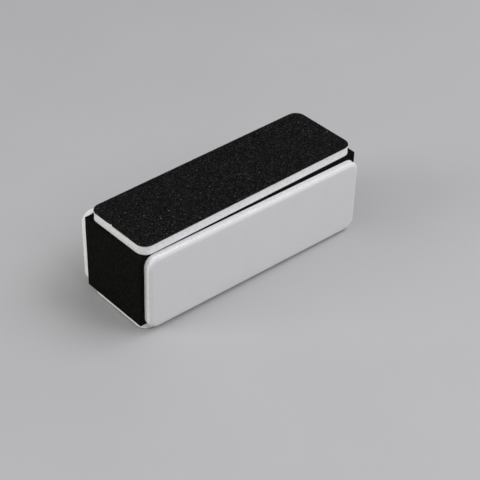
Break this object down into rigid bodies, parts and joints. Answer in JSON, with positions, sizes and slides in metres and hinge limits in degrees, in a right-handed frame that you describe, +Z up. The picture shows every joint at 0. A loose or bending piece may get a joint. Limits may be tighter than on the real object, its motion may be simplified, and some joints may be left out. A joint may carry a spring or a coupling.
{
  "type": "nail buffer block",
  "caption": "Long square foam block with a rounded pad glued on each long side: black sanding pads above and below, pale grey polishing pads in front and behind.",
  "frame": {"origin": "under the middle of the block, on the surface that the lower sanding pad lies on", "axes": "+X along the block's length, +Z up out of the upper sanding pad, -Y out of the front polishing pad"},
  "size_m": [0.095, 0.0346, 0.0347],
  "materials": {
    "core_foam": "matte",
    "pad_foam": "matte",
    "mounting_tape": "matte",
    "bond_adhesive": "satin",
    "abrasive_paper": "matte",
    "black_grit": "matte",
    "polishing_film": "satin",
    "polishing_compound": "satin"
  },
  "bodies": {
    "root": {"core_block": "core_foam", "top_mounting_tape": "mounting_tape", "top_foam_pad": "pad_foam", "top_bond_layer": "bond_adhesive", "top_abrasive_paper": "abrasive_paper", "top_grit_coat": "black_grit", "bottom_mounting_tape": "mounting_tape", "bottom_foam_pad": "pad_foam", "bottom_bond_layer": "bond_adhesive", "bottom_abrasive_paper": "abrasive_paper", "bottom_grit_coat": "black_grit", "front_mounting_tape": "mounting_tape", "front_foam_pad": "pad_foam", "front_bond_layer": "bond_adhesive", "front_polishing_film": "polishing_film", "front_polishing_coat": "polishing_compound", "back_mounting_tape": "mounting_tape", "back_foam_pad": "pad_foam", "back_bond_layer": "bond_adhesive", "back_polishing_film": "polishing_film", "back_polishing_coat": "polishing_compound"}
  },
  "joints": []
}
